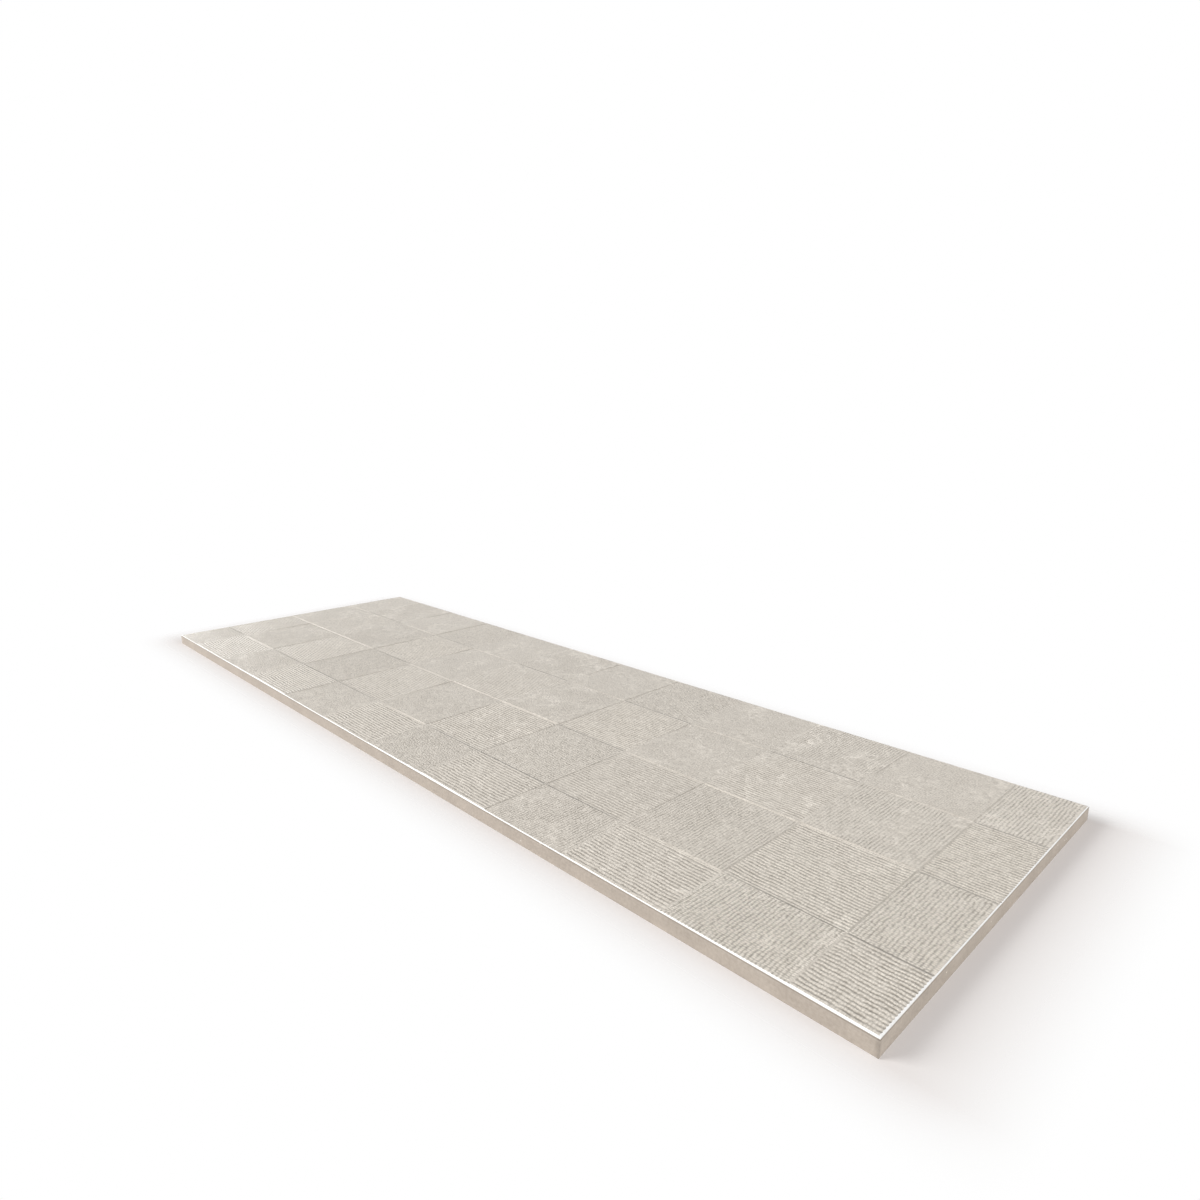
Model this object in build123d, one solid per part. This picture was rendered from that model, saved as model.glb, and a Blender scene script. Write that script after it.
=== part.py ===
# Ceramic wall tile with a patchwork face, pressed and fired as one piece, its edges ground square.
# Millimetres. The origin is the middle of the back, X runs along the tile, Y across it, Z up to the face.
import os
from build123d import *

# Overall size of the tile, its thickness measured over the highest corner of the face
LENGTH = 900.0
WIDTH = 300.0
THICKNESS = 10.8

# Patchwork of the face: the size of a whole patch, and what the cut leaves of the first column and row
PATCH_LENGTH = 79.8
PATCH_WIDTH = 82.7
FIRST_COLUMN = 55.4
FIRST_ROW = 55.6

# Relief of the patchwork: every patch is flat, its middle lies a few steps up or down, and it leans: the side
# that is raised stands one step above the middle of the patch.
RELIEF_STEP = 0.08
LEVELS = {"low": -1, "even": 0, "high": 1, "proud": 2}
RAISED = {
    "none": (0, 0),
    "left": (-1, 0),
    "right": (1, 0),
    "front": (0, -1),
    "back": (0, 1),
    "front left": (-1, -1),
    "front right": (1, -1),
    "back right": (1, 1),
}

# One repeat of the patchwork, four rows of four patches, the front row first: the level and the raised side
REPEAT = (
    (("low", "none"), ("low", "left"), ("high", "right"), ("proud", "front left")),
    (("low", "back right"), ("even", "front right"), ("even", "none"), ("low", "none")),
    (("even", "front right"), ("proud", "none"), ("proud", "front left"), ("low", "back")),
    (("even", "right"), ("proud", "back"), ("high", "front"), ("low", "none")),
)

# Fine bevel ground along the four edges of the face
BEVEL_IN = 1.6
BEVEL_DOWN = 1.0

# Keyed back: shallow grooves along the tile, with ribs between them and a plain margin all round
KEY_GROOVE = 26.0
KEY_RIB = 8.0
KEY_DEPTH = 0.8
KEY_MARGIN = 16.0
KEY_CORNER = 6.0
KEY_DRAFT = 30.0


def seams(size, first, pitch):
    """Places of the seams along one side of the tile, from one cut edge to the other."""
    places = [-size / 2]
    place = -size / 2 + first
    while place < size / 2 - BEVEL_IN:
        places.append(place)
        place = place + pitch
    places.append(size / 2)
    return places


def patch_relief(row, column):
    """Height of the middle of a patch over the even level, and its rise to the +X and +Y sides."""
    level, side = REPEAT[row % len(REPEAT)][column % len(REPEAT[0])]
    lean_x, lean_y = RAISED[side]
    return LEVELS[level] * RELIEF_STEP, lean_x * RELIEF_STEP, lean_y * RELIEF_STEP


# Face: one prism under each patch, cut off along the plane of the patch, its highest corner at full thickness
columns = seams(LENGTH, FIRST_COLUMN, PATCH_LENGTH)
rows = seams(WIDTH, FIRST_ROW, PATCH_WIDTH)
reliefs = [patch_relief(row, column) for row in range(len(REPEAT)) for column in range(len(REPEAT[0]))]
peak = max(height + abs(rise_x) + abs(rise_y) for height, rise_x, rise_y in reliefs)
patches = []
for row in range(len(rows) - 1):
    for column in range(len(columns) - 1):
        height, rise_x, rise_y = patch_relief(row, column)
        left, right = columns[column], columns[column + 1]
        front, back = rows[row], rows[row + 1]
        middle_x = -LENGTH / 2 + FIRST_COLUMN + (column - 0.5) * PATCH_LENGTH
        middle_y = -WIDTH / 2 + FIRST_ROW + (row - 0.5) * PATCH_WIDTH
        middle_z = THICKNESS - peak + height
        slope_x = rise_x / (PATCH_LENGTH / 2)
        slope_y = rise_y / (PATCH_WIDTH / 2)
        centre = Pos((left + right) / 2, (front + back) / 2, THICKNESS / 2)
        prism = centre * Box(right - left, back - front, THICKNESS)
        plane = Plane(origin=(middle_x, middle_y, middle_z), z_dir=(-slope_x, -slope_y, 1))
        patches.append(split(prism, bisect_by=plane, keep=Keep.BOTTOM))
body = patches[0].fuse(*patches[1:]).clean()

# Edges: the ground block that the tile is cut to, with the fine bevel round the face
block = Pos(0, 0, THICKNESS / 2) * Box(LENGTH, WIDTH, THICKNESS)
face = block.faces().sort_by(Axis.Z)[-1]
block = chamfer(face.edges(), length=BEVEL_IN, length2=BEVEL_DOWN, reference=face)
body = body & block

# Back: as many key grooves as fit between the margins, evenly placed about the middle
groove_pitch = KEY_GROOVE + KEY_RIB
groove_count = int((WIDTH - 2 * KEY_MARGIN + KEY_RIB) // groove_pitch)
for groove in range(groove_count):
    groove_y = (groove - (groove_count - 1) / 2) * groove_pitch
    outline = Pos(0, groove_y) * RectangleRounded(LENGTH - 2 * KEY_MARGIN, KEY_GROOVE, KEY_CORNER)
    body = body - extrude(outline, amount=KEY_DEPTH, taper=KEY_DRAFT)

# One fired piece, one solid
os.makedirs("parts", exist_ok=True)
tile = body.solids()[0]
tile.label = "tile"
export_step(tile, "parts/tile.step")
print("solids", len(body.solids()), "volume", round(tile.volume), "mm3")
print("box", tile.bounding_box().min, tile.bounding_box().max)
print("patches", len(patches), "grooves", groove_count)
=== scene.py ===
import math
import random

import bmesh
import bpy
from mathutils import Euler, Matrix, Vector, noise
from mathutils.bvhtree import BVHTree


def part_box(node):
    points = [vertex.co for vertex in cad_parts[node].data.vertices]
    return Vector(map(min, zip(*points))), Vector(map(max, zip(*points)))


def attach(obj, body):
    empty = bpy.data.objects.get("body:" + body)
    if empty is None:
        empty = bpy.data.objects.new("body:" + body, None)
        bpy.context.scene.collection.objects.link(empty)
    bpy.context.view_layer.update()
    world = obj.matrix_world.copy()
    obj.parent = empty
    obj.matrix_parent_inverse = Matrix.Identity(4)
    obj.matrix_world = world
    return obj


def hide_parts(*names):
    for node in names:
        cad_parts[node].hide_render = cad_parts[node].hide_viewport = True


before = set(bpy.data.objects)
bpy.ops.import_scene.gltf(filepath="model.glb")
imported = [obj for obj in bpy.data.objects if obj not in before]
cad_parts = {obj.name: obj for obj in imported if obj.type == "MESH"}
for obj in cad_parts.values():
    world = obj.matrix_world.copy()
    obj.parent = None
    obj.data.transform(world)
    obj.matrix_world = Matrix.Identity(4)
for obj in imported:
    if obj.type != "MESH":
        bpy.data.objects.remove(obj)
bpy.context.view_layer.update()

# Patchwork face. Dry clay pressed under a punch whose patches are ribbed along the tile, ribbed across it or
# nearly plain. Each has its own height and lean, which are read from the solid, and its ribs are shallower in
# places, as on worn stone. A patch starts as a grid whose rows follow the ribs, four rows to a rib.
MM = 0.001
PATCH_LENGTH = 79.8 * MM
PATCH_WIDTH = 82.7 * MM
FIRST_COLUMN = 55.4 * MM
FIRST_ROW = 55.6 * MM
SEAM_RAMP = 1.2 * MM
BEVEL_IN = 1.6 * MM
BEVEL_DOWN = 1.0 * MM

# Ribs: their middle lies under the solid's face, and a patch pressed less deep has a share of their depth
RIB_ROWS = 4
RIB_PITCH = {"along": 2.85 * MM, "across": 2.4 * MM}
RIB_DEPTH = {"along": 0.26 * MM, "across": 0.10 * MM}
RIB_MIDDLE = 0.13 * MM
RIB_SHARE = {"deep": 1.0, "fair": 0.7, "worn": 0.7}
RIB_AT_SEAM = 0.6
RIB_STEP = 4.0 * MM
RIB_END = 0.9 * MM
RIB_WAVE = {"along": 1.0 * MM, "across": 0.7 * MM}
RIB_WAVE_LENGTH = 11 * MM
RIB_WAVE_STRETCH = 0.4
BEAD_SHARE = {"along": 0.6, "across": 1.0, "plain": 0.8}
BEAD_WORN = 0.4
PLAIN_STEP = 5.0 * MM
PLAIN_SWELL = 0.06 * MM
PLAIN_SWELL_SIZE = 8 * MM

# Wear: how fresh the pressing is on the whole and at the least, how much that varies, and over what size
FRESH_MEAN = 0.85
FRESH_SWING = 1.5
FRESH_LEAST = {"deep": 0.8, "fair": 0.6, "worn": 0.1}
WORN_SIZE = 24 * MM
NOISE_SPREAD = 50

# Bump that sharpens the ramp of a seam, in mm: by the run of the seam, and whether the ramp faces the key
STEP_SHOWN = {
    ("row", "lit"): 0.32,
    ("row", "shaded"): 0.38,
    ("column", "lit"): 0.4,
    ("column", "shaded"): 0.5,
}
STEP_EASE = 0.03 * MM

# One repeat of the pressed patterns, the front row first: which way the ribs run, and how deep they are
PATTERN = (
    (("across", "fair"), ("along", "deep"), ("across", "deep"), ("along", "deep")),
    (("along", "fair"), ("across", "fair"), ("along", "deep"), ("across", "deep")),
    (("plain", "worn"), ("along", "worn"), ("across", "worn"), ("along", "deep")),
    (("plain", "worn"), ("across", "worn"), ("plain", "worn"), ("across", "deep")),
)

tile_low, tile_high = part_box("tile")
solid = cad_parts["tile"].data
solid_tree = BVHTree.FromPolygons([v.co for v in solid.vertices], [p.vertices for p in solid.polygons])
seeds = random.Random(11)

clay = bmesh.new()
patch_seed = clay.faces.layers.float.new("patch_seed")
pressed = clay.faces.layers.float.new("pressed")
rib_place = clay.verts.layers.float_vector.new("rib_place")
bead = clay.verts.layers.float.new("bead")
lift = clay.verts.layers.float.new("lift")
worn = clay.verts.layers.float.new("worn")


def patch_spans(low, high, first, pitch):
    """The stretches that the patches fill, from the bevel of one edge to the bevel of the other."""
    spans = []
    start = low + BEVEL_IN
    seam = low + first
    while seam < high - BEVEL_IN:
        spans.append((start, seam - SEAM_RAMP / 2))
        start = seam + SEAM_RAMP / 2
        seam += pitch
    spans.append((start, high - BEVEL_IN))
    return spans


def solid_height(x, y):
    """Height of the solid's face at a point."""
    above = Vector((x, y, tile_high.z + MM))
    return solid_tree.ray_cast(above, Vector((0, 0, -1)))[0].z


def patch_plane(left, right, front, back):
    """The flat face of a patch of the solid, as a function of x and y, from three of its points."""
    inset = 4 * MM
    x0, x1 = left + inset, right - inset
    y0, y1 = front + inset, back - inset
    z0 = solid_height(x0, y0)
    slope_x = (solid_height(x1, y0) - z0) / (x1 - x0)
    slope_y = (solid_height(x0, y1) - z0) / (y1 - y0)
    return lambda x, y: z0 + slope_x * (x - x0) + slope_y * (y - y0)


def patch_steps(run, size, along):
    """How many cells a side of a patch is cut into, along the ribs or across them. Across them it is a count
    of whole ribs and a half, so that the first and the last rib of a patch rise from the seam."""
    if run == "plain":
        return round(size / PLAIN_STEP)
    if along:
        return round(size / RIB_STEP)
    return RIB_ROWS * round(size / RIB_PITCH[run] - 0.5) + RIB_ROWS // 2


def even_steps(index, count, size, ends):
    """Place of a step along a rib: evenly spaced, but with a short first and last step at the ends."""
    if index == 0 or index == count:
        return size * index / count
    return ends + (size - 2 * ends) * (index - 1) / (count - 2)


def side_edges(verts):
    """The edges that join the vertices of one side of a patch."""
    return list({edge for vert in verts for edge in vert.link_edges if edge.other_vert(vert) in verts})


columns = patch_spans(tile_low.x, tile_high.x, FIRST_COLUMN, PATCH_LENGTH)
rows = patch_spans(tile_low.y, tile_high.y, FIRST_ROW, PATCH_WIDTH)
bevel_foot = tile_high.z - BEVEL_DOWN
sides = {}
tones = {}
for row, (front, back) in enumerate(rows):
    for column, (left, right) in enumerate(columns):
        run, strength = PATTERN[row][column % len(PATTERN[0])]
        along = run == "along"
        length, width = right - left, back - front
        steps_x = patch_steps(run, length, along)
        steps_y = patch_steps(run, width, run == "across")
        middle = Vector(((left + right) / 2, (front + back) / 2, 0))
        place = Matrix.LocRotScale(middle, None, Vector((length / 2, width / 2, 1)))
        cells = bmesh.ops.create_grid(clay, x_segments=steps_x, y_segments=steps_y, size=1, matrix=place)
        grid = cells["verts"]
        height = patch_plane(left, right, front, back)
        tone = seeds.random()
        tones[row, column] = tone
        shift = Vector((0, 0, NOISE_SPREAD * tone))
        borders = {"left": set(), "right": set(), "front": set(), "back": set()}
        for vert in grid:
            i = round((vert.co.x - left) / length * steps_x)
            j = round((vert.co.y - front) / width * steps_y)
            borders["left"].update([vert] if i == 0 else [])
            borders["right"].update([vert] if i == steps_x else [])
            borders["front"].update([vert] if j == 0 else [])
            borders["back"].update([vert] if j == steps_y else [])
            outer_x = (i == 0 and column == 0) or (i == steps_x and column == len(columns) - 1)
            outer_y = (j == 0 and row == 0) or (j == steps_y and row == len(rows) - 1)
            seam_x = (i == 0 or i == steps_x) and not outer_x
            seam_y = (j == 0 or j == steps_y) and not outer_y
            wear = noise.noise(vert.co / WORN_SIZE + shift)
            fresh = max(FRESH_LEAST[strength], min(1, FRESH_MEAN + FRESH_SWING * wear))
            vert[worn] = 1 - fresh
            vert[bead] = BEAD_SHARE[run] * RIB_SHARE[strength] * (BEAD_WORN + (1 - BEAD_WORN) * fresh)
            if run == "plain":
                swell = PLAIN_SWELL * noise.noise(vert.co / PLAIN_SWELL_SIZE + shift)
                x, y = vert.co.x, vert.co.y
                z = height(x, y) - RIB_MIDDLE + (0 if seam_x or seam_y else swell)
                vert[rib_place] = Vector((y / RIB_PITCH["across"], x / MM, 0))
            else:
                across_step, across_steps = (j, steps_y) if along else (i, steps_x)
                if along:
                    vert.co.x = left + even_steps(i, steps_x, length, RIB_END)
                else:
                    vert.co.y = front + even_steps(j, steps_y, width, RIB_END)
                margin = min(across_step, across_steps - across_step) / (2 * RIB_ROWS)
                stretch = Vector((1, RIB_WAVE_STRETCH, 1)) if along else Vector((RIB_WAVE_STRETCH, 1, 1))
                waver = noise.noise(vert.co * stretch / RIB_WAVE_LENGTH + shift)
                bend = RIB_WAVE[run] * min(1, margin) * waver
                x = vert.co.x + (0 if along else bend)
                y = vert.co.y + (bend if along else 0)
                share = RIB_SHARE[strength] * fresh * (RIB_AT_SEAM if seam_x or seam_y else 1)
                turn = (across_step + 1) / RIB_ROWS
                z = height(x, y) - RIB_MIDDLE - RIB_DEPTH[run] / 2 * share * math.cos(2 * math.pi * turn)
                vert[rib_place] = Vector((turn, (x if along else y) / MM, share))
            inset = (z - bevel_foot) * BEVEL_IN / BEVEL_DOWN
            if outer_x:
                x = tile_low.x + inset if i == 0 else tile_high.x - inset
            if outer_y:
                y = tile_low.y + inset if j == 0 else tile_high.y - inset
            if seam_x != seam_y:
                past_x = 2 * SEAM_RAMP * ((i > 0) - (i < steps_x)) if seam_x else 0
                past_y = 2 * SEAM_RAMP * ((j > 0) - (j < steps_y)) if seam_y else 0
                step = height(x, y) - solid_height(x + past_x, y + past_y)
                seam = "column" if seam_x else "row"
                facing = "shaded" if step * (past_x + past_y) > 0 else "lit"
                vert[lift] = STEP_SHOWN[seam, facing] * step / (abs(step) + STEP_EASE)
            vert.co = Vector((x, y, z))
        for face in {face for vert in grid for face in vert.link_faces}:
            face[patch_seed] = tone
            face[pressed] = 1
        sides[row, column] = {name: side_edges(verts) for name, verts in borders.items()}


# Seams. Each is a narrow ramp of the same clay, bridged from one patch to the next, with crisp borders and
# no ribs of its own. The small hole that is left where four patches meet is filled.
def bridge_seam(near, far, tone):
    """The ramp between the facing sides of two patches."""
    for face in bmesh.ops.bridge_loops(clay, edges=near + far)["faces"]:
        face[patch_seed] = tone
        face[pressed] = 0


for (row, column), side in sides.items():
    if column > 0:
        bridge_seam(sides[row, column - 1]["right"], side["left"], tones[row, column])
    if row > 0:
        bridge_seam(sides[row - 1, column]["back"], side["front"], tones[row, column])
    for edge in side["left"] + side["right"] + side["front"] + side["back"]:
        edge.smooth = False
bmesh.ops.holes_fill(clay, edges=[edge for edge in clay.edges if edge.is_boundary], sides=4)
for face in clay.faces:
    face.smooth = True

# Ground edges. After firing the four sides are ground square, which bares the biscuit, and the arris of the
# face gets a fine bevel through the glaze into the white engobe, whose near white is also a painted highlight
# along the bevel. The rib ends notch its upper border.
GLAZE, ENGOBE, BISCUIT, BACK = range(4)


def only(kind, parts):
    """The faces, or the vertices, among the parts that an operator gives back."""
    return [part for part in parts if isinstance(part, kind)]


border = [edge for edge in clay.edges if edge.is_boundary]
bevel = bmesh.ops.extrude_edge_only(clay, edges=border)["geom"]
for face in only(bmesh.types.BMFace, bevel):
    face.material_index = ENGOBE
for vert in only(bmesh.types.BMVert, bevel):
    if vert.co.x < tile_low.x + BEVEL_IN:
        vert.co.x = tile_low.x
    if vert.co.x > tile_high.x - BEVEL_IN:
        vert.co.x = tile_high.x
    if vert.co.y < tile_low.y + BEVEL_IN:
        vert.co.y = tile_low.y
    if vert.co.y > tile_high.y - BEVEL_IN:
        vert.co.y = tile_high.y
    vert.co.z = bevel_foot
arris = [edge for edge in clay.edges if edge.is_boundary]
ground = bmesh.ops.extrude_edge_only(clay, edges=arris)["geom"]
for face in only(bmesh.types.BMFace, ground):
    face.material_index = BISCUIT
for vert in only(bmesh.types.BMVert, ground):
    vert.co.z = tile_low.z
for edge in border + arris:
    edge.smooth = False

# Keyed back. Shallow grooves along the tile, pressed with a draft, give the adhesive a hold and stay clear
# of the edges by a plain margin. Each is a rounded pocket, and the flat of the back is filled in round them.
KEY_GROOVE = 26 * MM
KEY_RIB = 8 * MM
KEY_DEPTH = 0.8 * MM
KEY_MARGIN = 16 * MM
KEY_CORNER = 6 * MM
KEY_DRAFT = math.radians(30)
KEY_CORNER_STEPS = 6
tile_size = tile_high - tile_low
groove_pitch = KEY_GROOVE + KEY_RIB
groove_count = int((tile_size.y - 2 * KEY_MARGIN + KEY_RIB) // groove_pitch)
back_faces = []
for groove in range(groove_count):
    groove_y = (groove - (groove_count - 1) / 2) * groove_pitch
    half = Vector((tile_size.x / 2 - KEY_MARGIN, KEY_GROOVE / 2, 1))
    place = Matrix.LocRotScale(Vector((0, groove_y, tile_low.z)), None, half)
    mouth = bmesh.ops.create_grid(clay, x_segments=1, y_segments=1, size=1, matrix=place)["verts"]
    rounded = bmesh.ops.bevel(clay, geom=mouth, offset=KEY_CORNER, offset_type="OFFSET", profile=0.5,
                              segments=KEY_CORNER_STEPS, affect="VERTICES", material=-1)
    floor_face = rounded["verts"][0].link_faces[0]
    draft = KEY_DEPTH * math.tan(KEY_DRAFT)
    walls = bmesh.ops.inset_individual(clay, faces=[floor_face], thickness=draft, depth=KEY_DEPTH,
                                       use_even_offset=True)["faces"]
    back_faces += walls + [floor_face]
rims = [edge for edge in clay.edges if edge.is_boundary]
flat = bmesh.ops.triangle_fill(clay, edges=rims, use_beauty=True)["geom"]
back_faces += only(bmesh.types.BMFace, flat)
for face in back_faces:
    face.material_index = BACK
bmesh.ops.recalc_face_normals(clay, faces=clay.faces)

tile_mesh = bpy.data.meshes.new("pressed_tile")
clay.to_mesh(tile_mesh)
clay.free()
tile = bpy.data.objects.new("pressed_tile", tile_mesh)
bpy.context.scene.collection.objects.link(tile)

# Satin stone glaze. A satin greige glaze, printed with soft clouds and a lace of paler marks that differs
# from patch to patch. Its beads and crests are painted paler, a painted highlight, and the hollows of the
# ribs darker, a painted shade. The beads are too fine for the mesh: they follow the ribs' own coordinates.
GLAZE_DEEP = (0.360, 0.325, 0.279)
GLAZE_PALE = (0.790, 0.733, 0.653)
GLAZE_ROUGHNESS = 0.34
GLAZE_SPECULAR = 0.2
BEAD_LENGTH = 1.5
BEAD_SCATTER = 0.5
BEAD_REACH = 0.45
BEAD_OVER_RIB = 0.5
GROOVE_MEAN = 0.28
TURN = 2 * math.pi

# What each part of the relief and the print adds to the glaze: to its tone, and to its height in mm. The
# tones of the dome and the groove are a painted highlight on the beads and a painted shade in the rib valleys
TONE_MEAN = 0.475
TONE = {
    "clouds": 0.16,
    "patch": 0.045,
    "lace": 0.3,
    "worn": 0.12,
    "grain": 1.0,
    "dome": 1.1,
    # painted light: the patches ribbed across, which the key leaves darker, are painted a little paler
    "bead": 0.03,
    "groove": 0.75,
}
HEIGHT = {"dome": 0.45, "groove": 0.32, "grain": 0.3, "mottle": 0.5, "lace": 0.04}


class Channel:
    """One socket of a finish's nodes. Arithmetic on it adds the Math node that does the sum."""

    def __init__(self, tree, socket=None):
        self.tree = tree
        self.socket = socket

    def node(self, kind, settings, inputs, output=0):
        """Adds a node: first its settings, then the values or links of its sockets, and gives one output."""
        added = self.tree.nodes.new(kind)
        for name, value in settings.items():
            setattr(added, name, value)
        for name, value in inputs.items():
            if isinstance(value, Channel):
                self.tree.links.new(value.socket, added.inputs[name])
            else:
                added.inputs[name].default_value = value
        return Channel(self.tree, added.outputs[output])

    def math(self, operation, first, second=0):
        return self.node("ShaderNodeMath", {"operation": operation}, {0: first, 1: second})

    def __add__(self, other):
        return self.math("ADD", self, other)

    def __radd__(self, other):
        return self.math("ADD", other, self)

    def __sub__(self, other):
        return self.math("SUBTRACT", self, other)

    def __rsub__(self, other):
        return self.math("SUBTRACT", other, self)

    def __mul__(self, other):
        return self.math("MULTIPLY", self, other)

    def __rmul__(self, other):
        return self.math("MULTIPLY", other, self)

    def __truediv__(self, other):
        return self.math("DIVIDE", self, other)

    def __abs__(self):
        return self.math("ABSOLUTE", self)

    def attribute(self, name, output="Fac"):
        """A layer of the mesh."""
        return self.node("ShaderNodeAttribute", {"attribute_name": name}, {}, output)

    def axis(self, name):
        """One part of a vector."""
        return self.node("ShaderNodeSeparateXYZ", {}, {"Vector": self}, name)

    def noise(self, **sockets):
        """A noise at this place, its scale in features to the metre."""
        return self.node("ShaderNodeTexNoise", {}, {"Vector": self, **sockets})

    def swing(self, amount):
        """A noise that swings about zero, by this amount from end to end."""
        return (self - 0.5) * amount

    def fade(self, start, end):
        """0 at start and before, 1 at end and after, smooth between."""
        limits = {"Value": self, "From Min": start, "From Max": end}
        return self.node("ShaderNodeMapRange", {"interpolation_type": "SMOOTHSTEP"}, limits)

    def tint(self, low, high):
        """A colour between two, by this value. Each of the two is a plain colour or a channel."""
        ends = [colour if isinstance(colour, Channel) else (*colour, 1) for colour in (low, high)]
        return self.node("ShaderNodeMix", {"data_type": "RGBA"}, {0: self, 6: ends[0], 7: ends[1]}, 2)

    def bump(self, strength, depth):
        """The normal of a surface with this height."""
        return self.node("ShaderNodeBump", {}, {"Strength": strength, "Distance": depth, "Height": self})

    def feed(self, shader, name):
        self.tree.links.new(self.socket, shader.inputs[name])


def new_finish(name):
    """A new material: its principled shader and the channel that its nodes start from."""
    material = bpy.data.materials.new(name)
    material.use_nodes = True
    tile_mesh.materials.append(material)
    return material.node_tree.nodes["Principled BSDF"], Channel(material.node_tree)


shader, start = new_finish("satin_stone_glaze")
place = start.node("ShaderNodeTexCoord", {}, {}, "Object")
seed = start.attribute("patch_seed")
on_patch = start.attribute("pressed")
worn_amount = start.attribute("worn")
bead_amount = start.attribute("bead") * on_patch
seam_step = start.attribute("lift") * (1 - on_patch)
rib_grid = start.attribute("rib_place", "Vector")
rib_amount = rib_grid.axis("Z") * (on_patch - bead_amount * BEAD_OVER_RIB)

wobble = place.noise(Scale=210, Detail=1)
breaks = place.noise(Scale=160, Detail=2)
rib_turn = rib_grid.axis("X") + wobble.swing(0.5)
valley = 0.5 + 0.5 * start.math("COSINE", rib_turn * TURN)
groove = valley * valley * rib_amount * breaks.fade(0.2, 0.6)

on_crest = rib_turn + 0.5 + BEAD_SCATTER / 2
bead_place = start.node("ShaderNodeCombineXYZ", {}, {"X": on_crest, "Y": rib_grid.axis("Y") / BEAD_LENGTH})
string = {"Vector": bead_place, "Scale": 1, "Randomness": BEAD_SCATTER}
from_bead = start.node("ShaderNodeTexVoronoi", {"voronoi_dimensions": "2D"}, string)
dome = (BEAD_REACH - from_bead) * bead_amount

jump = start.node("ShaderNodeCombineXYZ", {}, {"X": seed * 3, "Y": seed * 7, "Z": seed * 5})
own_place = start.node("ShaderNodeVectorMath", {"operation": "ADD"}, {0: place, 1: jump})
clouds = own_place.noise(Scale=24, Detail=3, Roughness=0.55)
marks = own_place.noise(Scale=45, Detail=4, Distortion=0.5)
blotches = own_place.noise(Scale=30, Detail=2)
lace = (1 - abs(marks - 0.5).fade(0.006, 0.03)) * blotches.fade(0.46, 0.6)
lace_share = start.math("FRACT", seed * 7.3).fade(0.2, 0.9)
grain = place.noise(Scale=750, Detail=3, Roughness=0.6)
coarse = place.noise(Scale=230, Detail=2, Roughness=0.6)
mottle = (coarse - 0.5) * (0.35 + worn_amount)

print_tone = TONE_MEAN + clouds.swing(TONE["clouds"]) + seed.swing(TONE["patch"])
print_tone = print_tone + lace * lace_share * TONE["lace"] + worn_amount * TONE["worn"]
# The dome adds a painted highlight on the beads, and the groove a painted shade in the valleys of the ribs
glaze_tone = print_tone + grain.swing(TONE["grain"]) + mottle + dome * TONE["dome"]
glaze_tone = glaze_tone + bead_amount * TONE["bead"] - (groove - GROOVE_MEAN * rib_amount) * TONE["groove"]
relief = dome * HEIGHT["dome"] - groove * HEIGHT["groove"] + grain * HEIGHT["grain"]
relief = relief + mottle * HEIGHT["mottle"] + lace * HEIGHT["lace"] + seam_step
glaze_tone.tint(GLAZE_DEEP, GLAZE_PALE).feed(shader, "Base Color")
(GLAZE_ROUGHNESS + grain.swing(0.25) - lace * 0.06).feed(shader, "Roughness")
relief.bump(1, 1 * MM).feed(shader, "Normal")
shader.inputs["Specular IOR Level"].default_value = GLAZE_SPECULAR

# White engobe and painted highlight. The layer of white slip between the glaze and the body, bared along the
# bevel and slightly polished by the grinding, painted near white so that it also stands for the highlight
# along the bevel. At the foot of the bevel it runs out and the body shows.
ENGOBE_FOOT = (0.40, 0.36, 0.31)
ENGOBE_WORN = (0.86, 0.85, 0.83)
# The near white of the bevel, which is partly a painted highlight
ENGOBE_AND_HIGHLIGHT_WHITE = (0.95, 0.945, 0.93)
FOOT_WIDTH = 0.2 * MM
shader, start = new_finish("white_engobe_and_highlight")
place = start.node("ShaderNodeTexCoord", {}, {}, "Object")
chips = place.noise(Scale=500, Detail=3)
over_body = place.axis("Z").fade(bevel_foot, bevel_foot + FOOT_WIDTH)
layer = chips.fade(0.3, 0.55).tint(ENGOBE_WORN, ENGOBE_AND_HIGHLIGHT_WHITE)
over_body.tint(ENGOBE_FOOT, layer).feed(shader, "Base Color")
(0.3 + chips * 0.2).feed(shader, "Roughness")
chips.bump(0.5, 0.1 * MM).feed(shader, "Normal")

# Biscuit. The fired body of the tile, a beige clay with coarser grains, a few white specks of quartz and the
# fine level scratches of the grinding wheel. It is a shade darker in the line right under the engobe.
BISCUIT_DARK = (0.245, 0.206, 0.171)
BISCUIT_LIGHT = (0.455, 0.395, 0.336)
SPECK = (0.78, 0.74, 0.68)
SCRATCHES_TO_METRE = (25, 25, 1600)
shader, start = new_finish("ground_biscuit")
place = start.node("ShaderNodeTexCoord", {}, {}, "Object")
grains = place.noise(Scale=520, Detail=4, Roughness=0.65)
patches = place.noise(Scale=60, Detail=2)
level_place = start.node("ShaderNodeVectorMath", {"operation": "MULTIPLY"}, {0: place, 1: SCRATCHES_TO_METRE})
scratches = level_place.noise(Scale=1, Detail=2)
quartz = {"Vector": place, "Scale": 210, "Randomness": 1}
speck_near = start.node("ShaderNodeTexVoronoi", {}, quartz, "Distance")
speck_draw = start.node("ShaderNodeTexVoronoi", {}, quartz, "Color")
speck = (1 - speck_near.fade(0.06, 0.13)) * speck_draw.fade(0.60, 0.64)
under_glaze = place.axis("Z").fade(bevel_foot - 0.9 * MM, bevel_foot - 0.15 * MM)
body_tone = 0.5 + grains.swing(1.1) + patches.swing(0.5) + scratches.swing(0.3) - under_glaze * 1.2
body = body_tone.tint(BISCUIT_DARK, BISCUIT_LIGHT)
speck.tint(body, SPECK).feed(shader, "Base Color")
(0.75 + grains.swing(0.3)).feed(shader, "Roughness")
(grains * 0.6 + scratches * 0.4).bump(0.6, 0.15 * MM).feed(shader, "Normal")

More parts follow.
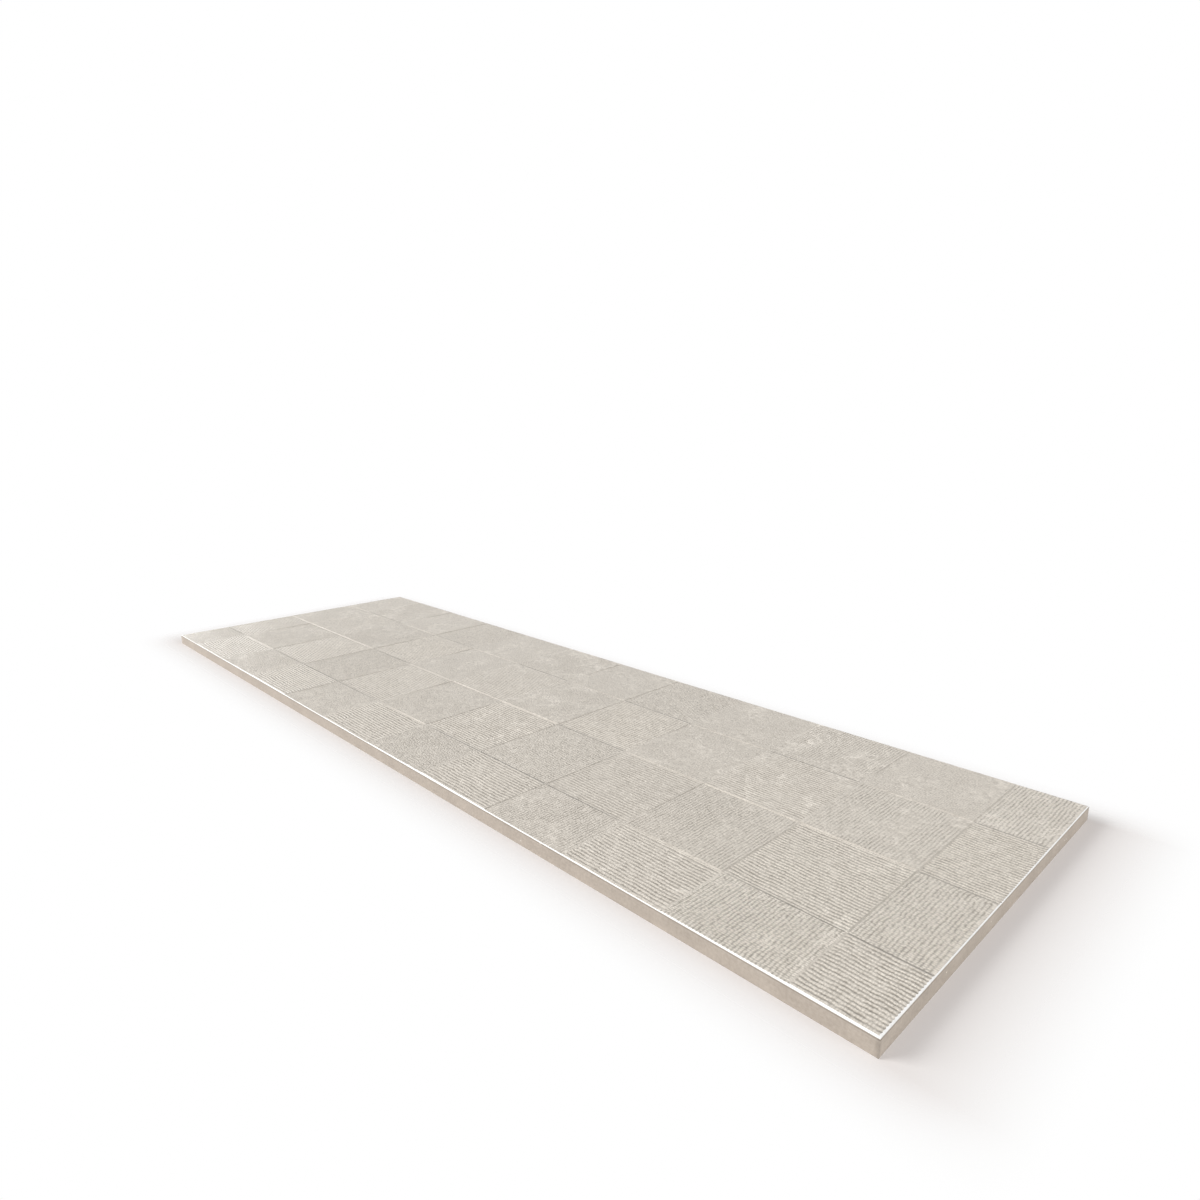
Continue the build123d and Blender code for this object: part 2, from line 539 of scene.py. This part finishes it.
# Pressed back. The same biscuit as it left the press, not ground, with a thin dusting of white kiln wash that
# has rubbed off unevenly.
BACK_CLAY = (0.400, 0.330, 0.255)
BACK_WASH = (0.620, 0.570, 0.500)
shader, start = new_finish("pressed_back")
place = start.node("ShaderNodeTexCoord", {}, {}, "Object")
wash = place.noise(Scale=14, Detail=6, Roughness=0.65)
grains = place.noise(Scale=420, Detail=3)
(wash.fade(0.3, 0.75) * 0.7 + grains.swing(0.5)).tint(BACK_CLAY, BACK_WASH).feed(shader, "Base Color")
(0.8 + grains.swing(0.2)).feed(shader, "Roughness")
grains.bump(0.6, 0.2 * MM).feed(shader, "Normal")

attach(tile, "root")
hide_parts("tile")

# Floor. A pale sheet that keeps the tile's shadow and fades out into the white of the studio all round it.
# It is open under the tile, and can be seen through from below, so that the back can be looked at. The eye
# sees a greyer sheet with a faint glow, which makes the shadow paler than the one that the light bounces in.
# The greyer sheet near the tile, fading to white within a few centimetres and soonest off the front, is a
# painted shade round the tile.
FLOOR_RADIUS = 1.2
FLOOR_GAP = 0.1 * MM
# How far the painted shade round the tile reaches off the ends and off the front before it fades to white
SIDE_SHADE_REACH = 0.07
FRONT_SHADE_REACH = 0.045
UNDER_TILE = 0.001 * MM
FLOOR_COLOUR = (0.9, 0.9, 0.9, 1)
SEEN_SHADED_COLOUR = (0.48, 0.465, 0.455, 1)
SEEN_GLOW = (0.32, 0.295, 0.285, 1)
floor_shape = bmesh.new()
place = Matrix.Translation((0, 0, tile_low.z - FLOOR_GAP))
bmesh.ops.create_circle(floor_shape, cap_ends=True, segments=96, radius=FLOOR_RADIUS, matrix=place)
floor_mesh = bpy.data.meshes.new("studio_floor")
floor_shape.to_mesh(floor_mesh)
floor_shape.free()
floor = bpy.data.objects.new("studio_floor", floor_mesh)
bpy.context.scene.collection.objects.link(floor)
material = bpy.data.materials.new("studio_floor")
material.use_nodes = True
floor_mesh.materials.append(material)
tree = material.node_tree
tree.nodes.clear()
start = Channel(tree)
place = start.node("ShaderNodeTexCoord", {}, {}, "Object")
beyond_x = start.math("MAXIMUM", abs(place.axis("X")) - tile_high.x, 0)
beyond_y = start.math("MAXIMUM", abs(place.axis("Y")) - tile_high.y, 0)
camera_ray = start.node("ShaderNodeLightPath", {}, {}, "Is Camera Ray")
sheet = start.node("ShaderNodeBsdfDiffuse", {}, {"Color": FLOOR_COLOUR})
seen_sheet = start.node("ShaderNodeBsdfDiffuse", {}, {"Color": SEEN_SHADED_COLOUR})
glow = start.node("ShaderNodeEmission", {}, {"Color": SEEN_GLOW, "Strength": 1})
seen = start.node("ShaderNodeAddShader", {}, {0: seen_sheet, 1: glow})
either = start.node("ShaderNodeMixShader", {}, {0: camera_ray, 1: sheet, 2: seen})
unlit = start.node("ShaderNodeBsdfTransparent", {}, {})
# painted shade: the greyer sheet close to the tile, faded out to white, soonest off the front edge
front_share = start.math("MINIMUM", beyond_y / FRONT_SHADE_REACH, 1)
front_shade_fade = front_share * (2 - front_share)
away = (1 - (1 - beyond_x.fade(0, SIDE_SHADE_REACH)) * (1 - front_shade_fade)) * camera_ray
below = start.node("ShaderNodeNewGeometry", {}, {}, "Backfacing")
under = start.math("LESS_THAN", beyond_x + beyond_y, UNDER_TILE)
hidden = start.math("MAXIMUM", below, under)
clear = start.math("MAXIMUM", away, hidden)
faded = start.node("ShaderNodeMixShader", {}, {0: clear, 1: either, 2: unlit})
output = tree.nodes.new("ShaderNodeOutputMaterial")
tree.links.new(faded.socket, output.inputs["Surface"])

# Studio light. A white room for the eye and the reflections, which lights the tile at under half strength, a
# large soft key from the left of the camera, a low fill from beyond the near short end, and a small lamp
# beyond the far end for the sheen of the glaze there.
ROOM_LIGHT = 0.30
world = bpy.data.worlds.new("studio")
bpy.context.scene.world = world
world.use_nodes = True
tree = world.node_tree
tree.nodes.clear()
start = Channel(tree)
camera_ray = start.node("ShaderNodeLightPath", {}, {}, "Is Camera Ray")
glossy_ray = start.node("ShaderNodeLightPath", {}, {}, "Is Glossy Ray")
through_ray = start.node("ShaderNodeLightPath", {}, {}, "Is Transmission Ray")
seen = start.math("MAXIMUM", start.math("MAXIMUM", camera_ray, glossy_ray), through_ray)
room = start.node("ShaderNodeBackground", {}, {"Color": (1, 1, 1, 1), "Strength": ROOM_LIGHT})
white = start.node("ShaderNodeBackground", {}, {"Color": (1, 1, 1, 1), "Strength": 1})
both = start.node("ShaderNodeMixShader", {}, {0: seen, 1: room, 2: white})
output = tree.nodes.new("ShaderNodeOutputWorld")
tree.links.new(both.socket, output.inputs["Surface"])


def studio_lamp(name, place, aim, size, power):
    """A square soft lamp at a place, turned to a point, that the camera doesn't see."""
    lamp = bpy.data.lights.new(name, "AREA")
    lamp.shape = "SQUARE"
    lamp.size = size
    lamp.energy = power
    lamp_object = bpy.data.objects.new(name, lamp)
    lamp_object.location = place
    lamp_object.rotation_euler = (Vector(aim) - Vector(place)).to_track_quat("-Z", "Y").to_euler()
    lamp_object.visible_camera = False
    bpy.context.scene.collection.objects.link(lamp_object)


studio_lamp("key", place=(-6.8, -7.1, 4.4), aim=(0.0, 0.0, 0.0), size=5.6, power=1650)
studio_lamp("fill", place=(3.2, 0.0, 0.7), aim=(0.3, 0.0, 0.0), size=1.2, power=66)
studio_lamp("sheen", place=(-1.7, 0.11, 0.33), aim=(-0.4, -0.12, 0.0), size=0.2, power=1.6)

# Camera. A wide lens off the near corner of the tile, a little lower over the floor than the tile is wide,
# that looks slantwise over the front edge to the far end.
CAMERA_PLACE = (0.57488, -0.44047, 0.27224)
CAMERA_PITCH = math.radians(13.117)
CAMERA_YAW = math.radians(45.679)
CAMERA_LENS = 24.01
CAMERA_SENSOR = 36
CAMERA_CLIP = 0.01
camera_data = bpy.data.cameras.new("camera")
camera_data.lens = CAMERA_LENS
camera_data.sensor_width = CAMERA_SENSOR
camera_data.clip_start = CAMERA_CLIP
camera = bpy.data.objects.new("camera", camera_data)
camera.location = CAMERA_PLACE
camera.rotation_euler = Euler((math.pi / 2 - CAMERA_PITCH, 0, CAMERA_YAW))
bpy.context.scene.collection.objects.link(camera)
bpy.context.scene.camera = camera
bpy.context.scene.view_settings.view_transform = "Standard"
